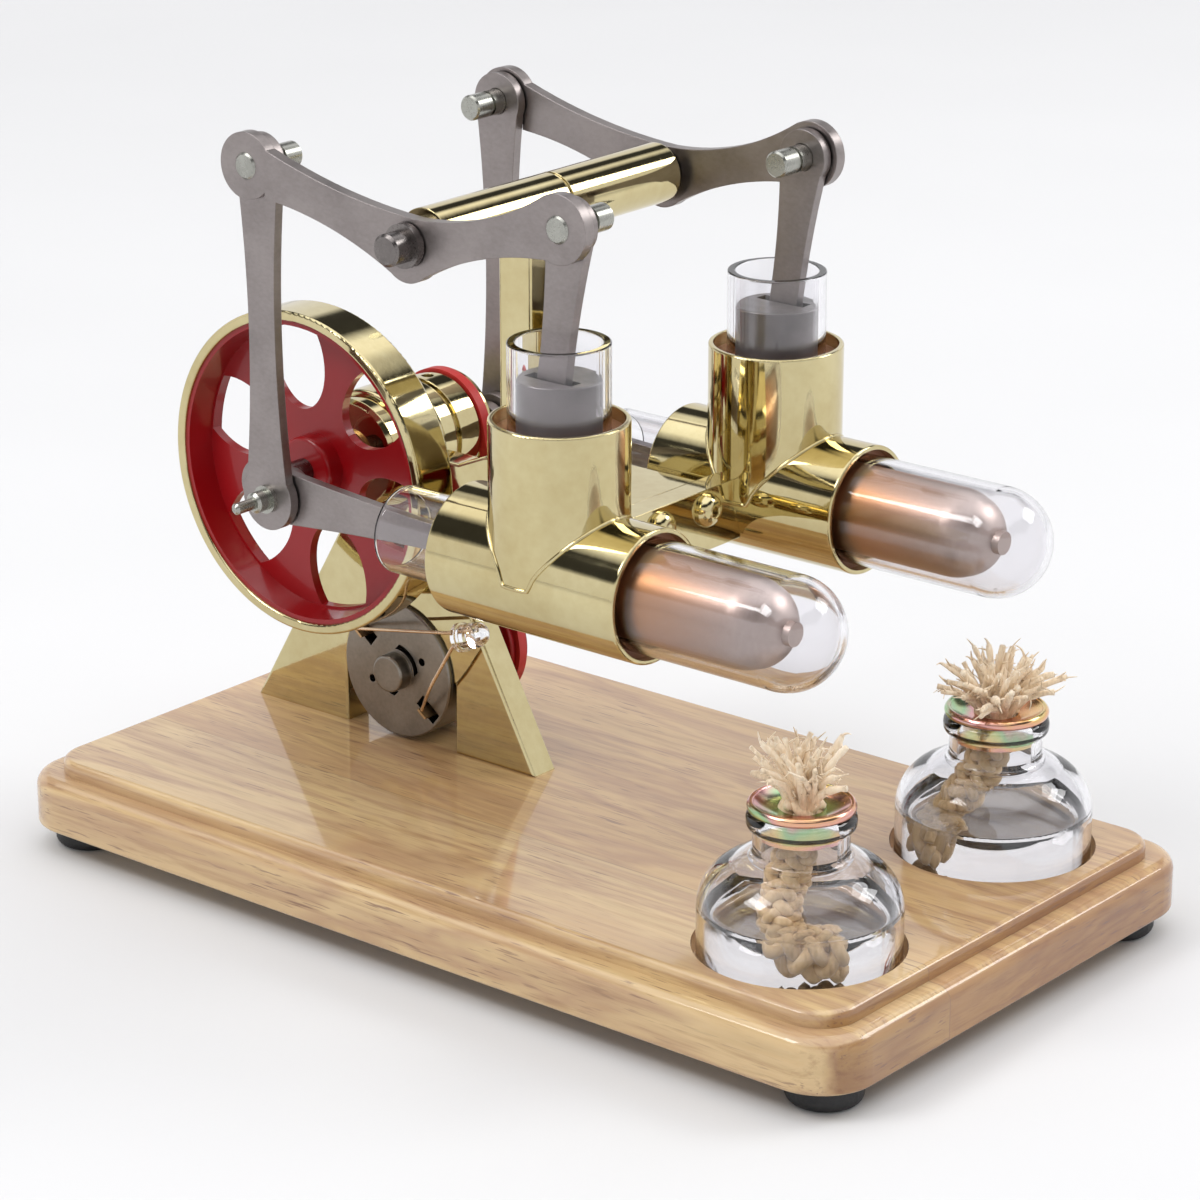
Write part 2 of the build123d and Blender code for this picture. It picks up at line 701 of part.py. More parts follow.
save_pair("beam", make_beam())
save_pair("beam_pins", group([make_beam_pin(rod_eye_x), make_beam_pin(piston_eye_x)]))


# ---- rods ----
def make_connecting_rod():
    """Upright rod: wide at both eyes and waisted between them."""
    top_half, waist_half, low_half = 5.4, 3.3, 5.4
    x_top, x_low = rod_eye_x, crank_pin_x
    waist_x = (x_top + x_low) / 2
    waist_z = (eye_z + axle_z) / 2 - 3
    outline = make_face([
        Line((x_top - top_half, eye_z), (x_top + top_half, eye_z)),
        ThreePointArc((x_top + top_half, eye_z), (waist_x + waist_half, waist_z), (x_low + low_half, axle_z)),
        Line((x_low + low_half, axle_z), (x_low - low_half, axle_z)),
        ThreePointArc((x_low - low_half, axle_z), (waist_x - waist_half, waist_z), (x_top - top_half, eye_z)),
    ])
    outline += Pos(x_top, eye_z) * Circle(5.6)
    outline += Pos(x_low, axle_z) * Circle(6.1)
    rod = plate(outline, -rod_outer, -rod_inner)
    rod -= cyl("Y", pin_radius + fit, -40, -30, x_top, eye_z)
    return rod - cyl("Y", crank_pin_radius, -40, -30, x_low, axle_z)


def make_crank_pin():
    """Outer part of the crank pin, carried by the upright rod."""
    pin = cyl("Y", crank_pin_radius, -38.6, -rod_inner, crank_pin_x, axle_z)
    pin = chamfer(pin.edges().group_by(Axis.Y)[0], 0.5)
    tip = cyl("Y", 1.1, -43.4, -38.6, crank_pin_x, axle_z)
    tip = chamfer(tip.edges().group_by(Axis.Y)[0], 0.5)
    return pin + tip + cyl("Y", 2.7, -rod_outer - 0.9, -rod_outer, crank_pin_x, axle_z)


def make_piston_rod():
    half_top, half_low = 5.0, 3.3
    waist_x = (piston_eye_x + tower_x) / 2 - 0.4
    waist_z = (eye_z + wrist_z) / 2 - 3
    outline = make_face([
        Line((piston_eye_x - half_top, eye_z), (piston_eye_x + half_top, eye_z)),
        ThreePointArc((piston_eye_x + half_top, eye_z), (waist_x + 3.3, waist_z),
                      (tower_x + half_low, wrist_z)),
        Line((tower_x + half_low, wrist_z), (tower_x - half_low, wrist_z)),
        ThreePointArc((tower_x - half_low, wrist_z), (waist_x - 3.2, waist_z),
                      (piston_eye_x - half_top, eye_z)),
    ])
    outline += Pos(piston_eye_x, eye_z) * Circle(5.2)
    outline += Pos(tower_x, wrist_z) * Circle(3.5)
    rod = plate(outline, -rod_outer, -rod_inner)
    rod -= cyl("Y", pin_radius + fit, -40, -30, piston_eye_x, eye_z)
    return rod - cyl("Y", wrist_radius + 0.6, -40, -30, tower_x, wrist_z)


def make_piston():
    """Graphite piston with a slot in its crown for the rod."""
    body = cyl("Z", piston_radius, piston_low, piston_high, tower_x, -cylinder_y)
    body = fillet(body.edges().filter_by(GeomType.CIRCLE), 0.3)
    body -= block(tower_x - 5.4, tower_x + 5.4, -35.0, -32.2, wrist_z - 4.6, piston_high + 1)
    body -= cyl("Z", 5.2, piston_low - 1, wrist_z - 7.0, tower_x, -cylinder_y)
    return body - cyl("Y", wrist_radius, -37.2, -29.0, tower_x, wrist_z)


save_pair("connecting_rod", make_connecting_rod())
save_pair("crank_pin", make_crank_pin())
save_pair("piston_rod", make_piston_rod())
save_pair("piston", make_piston())
save_pair("wrist_pin", cyl("Y", wrist_radius, -37.2, -29.0, tower_x, wrist_z))


# ---- displacer, its rod and its link ----
def make_displacer():
    y = -cylinder_y
    shell_end = 62.0
    shell = cyl("X", displacer_radius, 26.5, shell_end, y, barrel_z)
    shell += Pos(shell_end, y, barrel_z) * (Sphere(displacer_radius) & block(0, 9, -9, 9, -9, 9))
    shell = shell.solids()[0]
    shell += cyl("X", 2.2, shell_end + displacer_radius - 1, shell_end + displacer_radius + 1.2, y, barrel_z)
    cavity = cyl("X", displacer_radius - 0.5, 27.5, shell_end, y, barrel_z)
    shell -= cavity
    return shell - cyl("X", rod_radius, 20, 29.5, y, barrel_z)


def make_displacer_rod():
    """Thin rod with the forked crosshead on its end."""
    y = -cylinder_y
    rod = cyl("X", rod_radius, crosshead_x + 3.0, 29.5, y, barrel_z)
    fork = cyl("X", 6.6, crosshead_x - 3.0, crosshead_x + 3.6, y, barrel_z)
    slot = block(crosshead_x - 4, crosshead_x + 2.6, -link_outer - 0.4, -link_inner + 0.4, 60, 90)
    fork -= slot
    pin = cyl("Y", crosshead_pin, -cylinder_y - 4.5, -cylinder_y + 4.5, crosshead_x, barrel_z)
    return rod + fork + pin


def make_displacer_link():
    """Flat link that tapers from the crank pin's height to the crosshead pin."""
    x_big, x_small = crank_pin_x, crosshead_x
    outline = make_face([
        Line((x_big, axle_z - 5.4), (x_big, axle_z + 5.4)),
        ThreePointArc((x_big, axle_z + 5.4), (x_big + 22, axle_z + 3.5), (x_small - 3, axle_z + 2.2)),
        Line((x_small - 3, axle_z + 2.2), (x_small - 3, axle_z - 2.2)),
        ThreePointArc((x_small - 3, axle_z - 2.2), (x_big + 22, axle_z - 3.5), (x_big, axle_z - 5.4)),
    ])
    outline += Pos(x_big, axle_z) * Circle(5.6)
    neck = make_face(Polyline((x_small - 3.2, axle_z - 2.2), (x_small, axle_z - 2.2),
                              (x_small, axle_z + 2.2), (x_small - 3.2, axle_z + 2.2), close=True))
    outline += neck + Pos(x_small, axle_z) * Circle(2.2)
    link = plate(outline, -link_outer, -link_inner)
    return link - cyl("Y", crosshead_pin + fit, -40, -20, x_small, axle_z)


save_pair("displacer", make_displacer())
save_pair("displacer_rod", make_displacer_rod())
save_pair("displacer_link", make_displacer_link())
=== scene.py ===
# %% [markdown]
# # A twin-cylinder hot-air engine, dressed for its portrait
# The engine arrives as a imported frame: every plate, tube, rod and screw already has
# its true shape and place. What it lacks is its looks. We could rebuild each piece,
# but that would risk the fits, so we keep the frame and only give it finishes, and we
# make by hand the few things a machinist doesn't: cotton wicks, spirit and light.

import json
import math
import random

import bpy
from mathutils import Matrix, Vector


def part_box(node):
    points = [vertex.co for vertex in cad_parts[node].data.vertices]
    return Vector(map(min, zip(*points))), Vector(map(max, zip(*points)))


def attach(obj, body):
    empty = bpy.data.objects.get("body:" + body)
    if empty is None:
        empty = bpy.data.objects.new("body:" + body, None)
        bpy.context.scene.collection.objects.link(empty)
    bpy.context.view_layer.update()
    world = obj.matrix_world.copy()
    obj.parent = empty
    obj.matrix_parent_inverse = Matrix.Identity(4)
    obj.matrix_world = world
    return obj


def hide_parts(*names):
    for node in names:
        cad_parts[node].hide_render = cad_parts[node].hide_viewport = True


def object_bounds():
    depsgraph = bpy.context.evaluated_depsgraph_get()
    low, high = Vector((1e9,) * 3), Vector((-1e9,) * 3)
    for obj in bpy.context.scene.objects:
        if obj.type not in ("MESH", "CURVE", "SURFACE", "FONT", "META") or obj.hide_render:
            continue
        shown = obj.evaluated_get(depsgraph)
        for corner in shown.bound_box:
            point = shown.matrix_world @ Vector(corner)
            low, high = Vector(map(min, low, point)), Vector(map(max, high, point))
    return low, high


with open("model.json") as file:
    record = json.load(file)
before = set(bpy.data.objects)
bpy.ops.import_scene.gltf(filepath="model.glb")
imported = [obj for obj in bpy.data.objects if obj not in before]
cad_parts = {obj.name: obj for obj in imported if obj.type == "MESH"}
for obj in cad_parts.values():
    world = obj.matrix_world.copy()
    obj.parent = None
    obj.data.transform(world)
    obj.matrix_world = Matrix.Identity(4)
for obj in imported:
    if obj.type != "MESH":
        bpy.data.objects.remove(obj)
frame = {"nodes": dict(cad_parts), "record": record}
frame_low, frame_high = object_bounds()
mm = 0.001
print("frame size in mm:", [round(side / mm, 1) for side in frame_high - frame_low])

# %% [markdown]
# ## A small toolbox for finishes
# A finish is a chain of texture nodes that ends in one shader. Written out in full,
# each chain is long and dull to read, so a small class holds the steps that every
# finish repeats: stretch the space, draw a pattern, colour it, and raise it as relief.
# Patterns read the object's own coordinates in metres, so a scale of 1000 means
# features about one millimetre wide.


# %% The finish class
class Finish:
    """One material, with short names for the nodes that finishes use most."""

    def __init__(self, name, **sockets):
        self.material = bpy.data.materials.new(name)
        self.material.use_nodes = True
        self.tree = self.material.node_tree
        self.shader = self.tree.nodes["Principled BSDF"]
        self.place = self.tree.nodes.new("ShaderNodeTexCoord").outputs["Object"]
        for socket, value in sockets.items():
            self.shader.inputs[socket.replace("_", " ")].default_value = value

    def node(self, kind, **sockets):
        """Add a node; numbers set its sockets and other sockets are linked to them."""
        made = self.tree.nodes.new("ShaderNode" + kind)
        for socket, value in sockets.items():
            self.feed(made.inputs[socket.replace("_", " ")], value)
        return made

    def feed(self, socket, value):
        """Link an output to a socket, or set the socket's number."""
        if isinstance(value, bpy.types.NodeSocket):
            self.tree.links.new(value, socket)
        else:
            socket.default_value = value

    def stretched(self, x, y, z):
        """The object's space with each axis scaled, so that patterns come out long or short."""
        return self.node("Mapping", Vector=self.place, Scale=(x, y, z)).outputs["Vector"]

    def noise(self, scale, detail=2.0, space=None, rough=0.5, distort=0.0):
        made = self.node("TexNoise", Vector=space or self.place, Scale=scale, Detail=detail,
                         Roughness=rough, Distortion=distort)
        return made.outputs["Fac"]

    def colours(self, amount, *stops):
        """Turn an amount into a colour by (position, colour) stops."""
        ramp = self.node("ValToRGB", Fac=amount)
        bar = ramp.color_ramp.elements
        while len(bar) < len(stops):
            bar.new(0.5)
        for mark, (position, colour) in zip(bar, stops):
            mark.position = position
            mark.color = (*colour, 1.0)
        return ramp.outputs["Color"]

    def between(self, amount, low, high, start=0.0, end=1.0):
        """Spread an amount over the range from low to high."""
        made = self.node("MapRange", Value=amount)
        for socket, value in zip(("From Min", "From Max", "To Min", "To Max"), (start, end, low, high)):
            made.inputs[socket].default_value = value
        return made.outputs["Result"]

    def math(self, operation, a, b):
        made = self.tree.nodes.new("ShaderNodeMath")
        made.operation = operation
        self.feed(made.inputs[0], a)
        self.feed(made.inputs[1], b)
        return made.outputs["Value"]

    def mixed(self, amount, first, second, way="MIX"):
        """Mix two colours by an amount."""
        made = self.tree.nodes.new("ShaderNodeMix")
        made.data_type = "RGBA"
        made.blend_type = way
        self.feed(made.inputs["Factor"], amount)
        for name, value in (("A", first), ("B", second)):
            socket = [s for s in made.inputs if s.name == name and s.type == "RGBA"][0]
            self.feed(socket, value if isinstance(value, bpy.types.NodeSocket) else (*value, 1.0))
        return [s for s in made.outputs if s.type == "RGBA"][0]

    def relief(self, height, strength, depth, edge=0.0):
        """Raise a pattern as bumps, over edges that look rounded by a radius; both in metres."""
        made = self.node("Bump", Height=height, Strength=strength, Distance=depth)
        if edge:
            soft = self.node("Bevel", Radius=edge)
            self.feed(made.inputs["Normal"], soft.outputs["Normal"])
        self.feed(self.shader.inputs["Normal"], made.outputs["Normal"])
        return made

    def put(self, **sockets):
        for socket, value in sockets.items():
            self.feed(self.shader.inputs[socket.replace("_", " ")], value)
        return self


finishes = {}

# %% [markdown]
# ## Varnished board
# The board is a pale plantation hardwood, glued up from two staves, cut along the grain
# and sealed with thick clear varnish. The grain has three scales: broad warm and cool
# streaks, finer growth lines, and short dark pores like pencil dashes. All three are
# noise stretched along the board. At its short ends the fibres meet us head on, so
# there the streaks follow the end's width instead. The second stave reads the same
# patterns from another place in space, so the two never match at the glue line. Wood
# under varnish stays rough, and the varnish on top is the gloss, so the shine goes in
# the coat and not in the wood.


# %% Wood finish
def make_wood():
    wood = Finish("varnished_wood", Roughness=0.5, Coat_Weight=1.0, Coat_Roughness=0.07, Coat_IOR=1.5)
    stave_joint = -23.2 * mm
    joint_blur = 0.1 * mm
    across_board = wood.node("SeparateXYZ", Vector=wood.place).outputs["Y"]
    stave = wood.between(across_board, 0, 1, stave_joint - joint_blur, stave_joint + joint_blur)
    shift = wood.node("CombineXYZ", X=wood.math("MULTIPLY", stave, 0.37), Y=0.0,
                      Z=wood.math("MULTIPLY", stave, 0.11)).outputs["Vector"]
    moved = wood.node("VectorMath", Vector=wood.place)
    wood.tree.links.new(shift, moved.inputs[1])
    facing = wood.node("TexCoord").outputs["Normal"]
    end_face = wood.math("ABSOLUTE", wood.node("SeparateXYZ", Vector=facing).outputs["X"], 0.0)
    at_end = wood.between(end_face, 0, 1, 0.6, 0.8)

    def streaked(along, across, detail, rough, distort):
        """Noise long in the grain's direction, which turns at the board's ends."""
        sides = []
        for scale in ((along, across, across), (across, along * 1.6, across)):
            space = wood.node("Mapping", Vector=moved.outputs["Vector"], Scale=scale).outputs["Vector"]
            sides.append(wood.noise(1.0, detail, space, rough, distort))
        gap = wood.math("SUBTRACT", sides[1], sides[0])
        return wood.math("ADD", sides[0], wood.math("MULTIPLY", gap, at_end))

    streaks = streaked(10, 80, 3.0, 0.6, 0.9)
    lines = streaked(30, 560, 4.0, 0.65, 0.3)
    pores = streaked(135, 2100, 2.0, 0.5, 0.0)
    patches = streaked(26, 70, 1.0, 0.5, 0.4)
    body = wood.colours(streaks, (0.28, (0.64, 0.465, 0.265)), (0.43, (0.74, 0.55, 0.33)),
                        (0.54, (0.55, 0.36, 0.225)), (0.64, (0.71, 0.52, 0.305)), (0.78, (0.46, 0.29, 0.17)))
    line_tint = wood.colours(lines, (0.34, (0.76, 0.67, 0.60)), (0.50, (1, 1, 1)), (0.75, (0.95, 0.90, 0.83)))
    grain = wood.mixed(0.85, body, line_tint, "MULTIPLY")
    warm = wood.mixed(1.0, grain, (0.87, 0.83, 0.69), "MULTIPLY")
    aged = wood.mixed(wood.math("MULTIPLY", stave, 0.6), warm, (0.90, 0.78, 0.66), "MULTIPLY")
    dark_end = wood.mixed(at_end, aged, (0.64, 0.50, 0.34), "MULTIPLY")
    from_joint = wood.math("ABSOLUTE", wood.math("SUBTRACT", across_board, stave_joint), 0.0)
    glue = wood.between(from_joint, 1, 0, 0.08 * mm, 0.22 * mm)
    glued = wood.mixed(wood.math("MULTIPLY", glue, 0.45), dark_end, (0.22, 0.12, 0.06))
    pore_marks = wood.between(pores, 0, 0.75, 0.60, 0.69)
    dense = wood.math("MULTIPLY", pore_marks, wood.between(patches, 0.2, 1, 0.42, 0.60))
    wood.put(Base_Color=wood.mixed(dense, glued, (0.19, 0.09, 0.05)))
    wood.put(Roughness=wood.between(lines, 0.42, 0.62))
    wood.relief(wood.math("SUBTRACT", streaks, dense), 0.14, 0.05 * mm)
    return wood


finishes["varnished_wood"] = make_wood()
print("wood nodes:", len(finishes["varnished_wood"].tree.nodes))

# %% [markdown]
# ## Plating and bare metals
# The castings are plated in a pale champagne gold that mirrors its surroundings, with
# a faint cast texture under it that makes long reflections ragged. The stamped beams
# and rods are bare steel with a satin, slightly blotched rolled surface. Each metal is
# full metallic, and what tells them apart is tint, roughness and the size of the
# relief, so one function makes them all from those few numbers.


# %% Metal finishes
def make_metal(name, light, dark, rough_low, rough_high, cloud_scale, relief_scale, relief_depth,
               brushed=(1, 1, 1), edge=0.0):
    metal = Finish(name, Metallic=1.0)
    clouds = metal.noise(cloud_scale, 3.0, distort=0.2)
    skin = metal.noise(relief_scale, 3.0, metal.stretched(*brushed), 0.6)
    both = metal.math("ADD", metal.math("MULTIPLY", clouds, 0.65), metal.math("MULTIPLY", skin, 0.35))
    metal.put(Base_Color=metal.colours(both, (0.35, dark), (0.65, light)))
    metal.put(Roughness=metal.between(both, rough_low, rough_high, 0.3, 0.7))
    metal.relief(skin, 0.25, relief_depth * mm, edge * mm)
    return metal


metals = {
    "gold_plating": make_metal("gold_plating", (0.63, 0.55, 0.315), (0.54, 0.45, 0.235),
                               0.035, 0.075, 60, 420, 0.022, edge=0.3),
    "satin_steel": make_metal("satin_steel", (0.335, 0.30, 0.29), (0.25, 0.222, 0.215),
                              0.30, 0.44, 90, 900, 0.02, (1, 1, 1.6), edge=0.3),
    "pin_steel": make_metal("pin_steel", (0.44, 0.44, 0.40), (0.31, 0.31, 0.28),
                            0.20, 0.34, 160, 1500, 0.015, (1, 4, 1)),
    "dark_steel": make_metal("dark_steel", (0.24, 0.22, 0.21), (0.15, 0.135, 0.13),
                             0.20, 0.34, 140, 1500, 0.015, (1, 4, 1)),
    "zinc_screw": make_metal("zinc_screw", (0.62, 0.62, 0.60), (0.45, 0.45, 0.44),
                             0.25, 0.40, 200, 1500, 0.02),
    "nickel_steel": make_metal("nickel_steel", (0.30, 0.27, 0.235), (0.21, 0.19, 0.165),
                               0.26, 0.40, 110, 1300, 0.02, edge=0.2),
    "bearing_bronze": make_metal("bearing_bronze", (0.62, 0.42, 0.22), (0.45, 0.29, 0.15),
                                 0.30, 0.48, 180, 2200, 0.03),
    "tinned_wire": make_metal("tinned_wire", (0.80, 0.62, 0.44), (0.64, 0.46, 0.32),
                              0.15, 0.30, 260, 2600, 0.01),
    "displacer_shell": make_metal("displacer_shell", (0.46, 0.375, 0.335), (0.35, 0.275, 0.245),
                                  0.34, 0.48, 50, 800, 0.012, (3, 1, 1)),
}
finishes.update(metals)
print("metals:", sorted(metals))

# %% [markdown]
# ## Flame light on the displacers
# The burners' flames throw an orange light on the displacers. It is strongest where
# they leave the block and fades toward their round ends. The scene has no flame, so that
# light is painted into the steel's colour as a brown blended in by the distance along the barrel.


# %% Painted flame light
def paint_flame_light(shell, glow_start, glow_end):
    steel = shell.shader.inputs["Base Color"].links[0].from_socket
    along = shell.node("SeparateXYZ", Vector=shell.place).outputs["X"]
    # Painted light: the flame's orange glow, mixed into the steel as a brown, strongest near the block and
    # gone toward the round ends.
    flame_light = shell.between(along, 0.85, 0.0, glow_start, glow_end)
    shell.put(Base_Color=shell.mixed(flame_light, steel, (0.48, 0.22, 0.08)))


paint_flame_light(metals["displacer_shell"], 44 * mm, 66 * mm)

# %% [markdown]
# ## Rainbow plating on the burner caps
# The caps carry a thin passivation film that breaks white light into bands of gold,
# green and pink. The bands follow the film's thickness, which changes slowly round and
# up the cap, so a height in the object's space, disturbed by soft noise, picks the
# colour. A film that changed with the viewer's position would be truer, but it would
# slide about in other views and can't be carried into a shared model.


# %% Rainbow finish
def make_rainbow():
    film = Finish("rainbow_plating", Metallic=1.0)
    height = film.node("SeparateXYZ", Vector=film.place).outputs["Z"]
    drift = film.noise(70, 2.0, distort=0.8)
    bands = film.math("ADD", film.math("MULTIPLY", height, 150.0), film.math("MULTIPLY", drift, 1.9))
    turn = film.math("FRACT", bands, 0.0)
    film.put(Base_Color=film.colours(turn, (0.00, (0.80, 0.50, 0.22)), (0.22, (0.62, 0.62, 0.28)),
                                     (0.42, (0.34, 0.55, 0.30)), (0.62, (0.66, 0.36, 0.36)),
                                     (0.82, (0.78, 0.42, 0.30)), (1.00, (0.80, 0.50, 0.22))))
    film.put(Roughness=film.between(film.noise(500, 2.0), 0.10, 0.24))
    film.relief(film.noise(700, 2.0), 0.15, 0.02 * mm)
    return film


finishes["rainbow_plating"] = make_rainbow()

# %% [markdown]
# ## Lacquer, rubber and graphite
# The wheel's centre and the small pulley are red lacquer: deep colour below, clear
# gloss above. The belt, feet and seals are rubbers, which are matt with a fine
# moulded grain. The pistons are turned graphite, grey and softly shining, with fine
# turning marks round them.


# %% Coated and moulded finishes
def make_moulded(name, light, dark, rough_low, rough_high, cloud_scale, relief_scale, relief_depth,
                 coat=0.0, metallic=0.0, brushed=(1, 1, 1)):
    moulded = Finish(name, Coat_Weight=coat, Coat_Roughness=0.05, Metallic=metallic)
    clouds = moulded.noise(cloud_scale, 3.0)
    skin = moulded.noise(relief_scale, 3.0, moulded.stretched(*brushed), 0.6)
    moulded.put(Base_Color=moulded.colours(clouds, (0.35, dark), (0.65, light)))
    moulded.put(Roughness=moulded.between(skin, rough_low, rough_high, 0.3, 0.7))
    moulded.relief(skin, 0.3, relief_depth * mm)
    return moulded


finishes["red_lacquer"] = make_moulded("red_lacquer", (0.30, 0.002, 0.005), (0.25, 0.0015, 0.003),
                                       0.30, 0.40, 40, 300, 0.006, coat=0.35)
finishes["red_lacquer"].put(Specular_IOR_Level=0.3)
finishes["red_rubber"] = make_moulded("red_rubber", (0.52, 0.022, 0.018), (0.40, 0.014, 0.012),
                                      0.42, 0.60, 200, 1800, 0.03)
finishes["black_rubber"] = make_moulded("black_rubber", (0.020, 0.020, 0.021), (0.010, 0.010, 0.011),
                                        0.45, 0.65, 200, 2200, 0.05)
finishes["silicone_rubber"] = make_moulded("silicone_rubber", (0.30, 0.115, 0.045), (0.20, 0.07, 0.03),
                                           0.40, 0.58, 160, 1600, 0.04)
finishes["graphite"] = make_moulded("graphite", (0.22, 0.20, 0.195), (0.14, 0.13, 0.125),
                                    0.30, 0.46, 90, 1200, 0.02, metallic=0.55, brushed=(0.3, 0.3, 6))
print("finishes so far:", len(finishes))

# %% [markdown]
# ## Glass and spirit
# The tubes are borosilicate glass with real thickness, so the shader can bend light
# properly and the rims go grey by themselves. Real glass also casts bright, lacy
# shadows that take very long to work out. We let shadow rays pass straight through,
# as a clean tube on a bright table nearly does. Faint smears in the roughness keep
# the glass from looking computed.


# %% Clear finishes
def make_clear(name, tint, bend, rough, smear):
    clear = Finish(name, Transmission_Weight=1.0, IOR=bend)
    drift = clear.noise(90, 2.0, distort=0.4)
    clear.put(Base_Color=clear.colours(drift, (0.3, tint), (0.7, [min(1.0, c * 1.02) for c in tint])))
    clear.put(Roughness=clear.between(drift, rough, smear, 0.45, 0.75))
    open_to_light = clear.node("BsdfTransparent", Color=(*tint, 1.0))
    rays = clear.node("LightPath").outputs["Is Shadow Ray"]
    either = clear.node("MixShader", Fac=rays)
    clear.tree.links.new(clear.shader.outputs["BSDF"], either.inputs[1])
    clear.tree.links.new(open_to_light.outputs["BSDF"], either.inputs[2])
    clear.tree.links.new(either.outputs["Shader"], clear.tree.nodes["Material Output"].inputs["Surface"])
    return clear


finishes["clear_glass"] = make_clear("clear_glass", (0.93, 0.925, 0.945), 1.47, 0.0, 0.02)
finishes["clear_lens"] = make_clear("clear_lens", (0.97, 0.975, 1.0), 1.5, 0.0, 0.03)
finishes["spirit_fuel"] = make_clear("spirit_fuel", (0.95, 0.945, 0.92), 1.36, 0.0, 0.0)

# %% [markdown]
# ## Cotton
# The wicks are undyed cotton: soft, uneven cream, with a nap that catches light along
# its outline. Sheen gives that nap, and noise stretched up the strands gives the
# uneven yarn. Below the caps the cotton is soaked with spirit, which darkens it.


# %% Cotton finish
def make_cotton():
    cotton = Finish("cotton_wick", Sheen_Weight=0.35, Sheen_Roughness=0.5)
    yarn = cotton.noise(1.0, 3.0, cotton.stretched(1500, 1500, 420), 0.6)
    patches = cotton.noise(160, 2.0)
    both = cotton.math("MULTIPLY", cotton.math("ADD", yarn, patches), 0.5)
    dry = cotton.colours(both, (0.34, (0.56, 0.42, 0.27)), (0.50, (0.86, 0.70, 0.50)),
                         (0.68, (0.94, 0.83, 0.66)))
    height = cotton.node("SeparateXYZ", Vector=cotton.place).outputs["Z"]
    soaked = cotton.between(height, 1, 0, 40 * mm, 47 * mm)
    cotton.put(Base_Color=cotton.mixed(soaked, dry, (0.76, 0.66, 0.49), "MULTIPLY"))
    cotton.put(Roughness=cotton.between(yarn, 0.75, 0.95))
    cotton.relief(yarn, 0.5, 0.12 * mm)
    return cotton


finishes["cotton_wick"] = make_cotton()

# %% [markdown]
# ## Hand the finishes to the frame
# The record says which slot each node belongs to, so we don't list the pieces again:
# one loop swaps every node's plain material for the finish of the same name.

# %% Give each node its finish
slot_of = {}
for part in frame["record"]["subparts"]:
    slot_of[part["node"]] = part["material_slot"]
for name, node in frame["nodes"].items():
    node.data.materials.clear()
    node.data.materials.append(finishes[slot_of[name]].material)
print("nodes with a finish:", len(frame["nodes"]))

# %% [markdown]
# ## Tools for hand-made pieces
# Two shapes cover everything we still have to make. A turned piece is an outline
# spun round a vertical axis, as on a lathe. A strand is a tube that follows a route
# and may taper. Both write plain lists of corners and faces, which is the shortest
# way to a clean, closed mesh with an exact place.


# %% Mesh helpers
def make_piece(name, corners, faces, body, slot, replaced=()):
    """Build a mesh piece, give it its finish and tie it to its CAD body."""
    mesh = bpy.data.meshes.new(name)
    mesh.from_pydata([tuple(c) for c in corners], [], faces)
    mesh.validate()
    mesh.polygons.foreach_set("use_smooth", [True] * len(mesh.polygons))
    piece = bpy.data.objects.new(name, mesh)
    bpy.context.scene.collection.objects.link(piece)
    mesh.materials.append(finishes[slot].material)
    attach(piece, body)
    if replaced:
        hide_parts(*replaced)
    print(name, "faces:", len(mesh.polygons))
    return piece


def turn_outline(outline, centre, steps=96):
    """Spin (radius, height) points round a vertical line; the ends lie on that line."""
    corners = []
    faces = []
    for radius, height in outline[1:-1]:
        for step in range(steps):
            angle = 2 * math.pi * step / steps
            corners.append(centre + Vector((radius * math.cos(angle), radius * math.sin(angle), height)))
    rows = len(outline) - 2
    for row in range(rows - 1):
        for step in range(steps):
            after = (step + 1) % steps
            faces.append((row * steps + step, row * steps + after,
                          (row + 1) * steps + after, (row + 1) * steps + step))
    for end, row in ((outline[0], 0), (outline[-1], rows - 1)):
        corners.append(centre + Vector((0, 0, end[1])))
        tip = len(corners) - 1
        for step in range(steps):
            after = (step + 1) % steps
            pair = (row * steps + after, row * steps + step)
            faces.append((tip, *pair) if row == 0 else (tip, *reversed(pair)))
    return corners, faces


def lay_strand(corners, faces, route, radii, sides=6):
    """Add a closed tube along a route to the lists of corners and faces."""
    first = len(corners)
    side_way = Vector((0.31, 0.87, 0.38))
    for index, point in enumerate(route):
        before = route[max(index - 1, 0)]
        after = route[min(index + 1, len(route) - 1)]
        along = (after - before).normalized()
        side_way = (side_way - along * side_way.dot(along)).normalized()
        other_way = along.cross(side_way)
        for side in range(sides):
            angle = 2 * math.pi * side / sides
            spoke = side_way * math.cos(angle) + other_way * math.sin(angle)
            corners.append(point + spoke * radii[index])
    for ring in range(len(route) - 1):
        for side in range(sides):
            after = (side + 1) % sides
            low = first + ring * sides
            faces.append((low + side, low + after, low + sides + after, low + sides + side))
    faces.append(tuple(first + side for side in reversed(range(sides))))
    faces.append(tuple(first + (len(route) - 1) * sides + side for side in range(sides)))


# %% [markdown]
# ## Where the burners stand
# Everything in a burner is measured from the middle of its bottle's foot. The frame
# knows where that is, so we ask for the bottles' box and work inward: the two bottles
# are alike and stand one on each side of the middle line.

# %% Burner centres
bottles_low, bottles_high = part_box("burner_bottles")
bottle_radius = (bottles_high.x - bottles_low.x) / 2
burner_x = bottles_low.x + bottle_radius
burner_y = bottles_high.y - bottle_radius
burner_floor = bottles_low.z
wall = 1.45 * mm
spirit_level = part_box("burner_fuel")[1].z - burner_floor
cap_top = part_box("burner_caps")[1].z - burner_floor
wick_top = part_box("burner_wicks")[1].z
burners = {
    "front": Vector((burner_x, -burner_y, burner_floor)),
    "rear": Vector((burner_x, burner_y, burner_floor)),
}
print("burner centres in mm:", {name: [round(c / mm, 1) for c in at] for name, at in burners.items()})


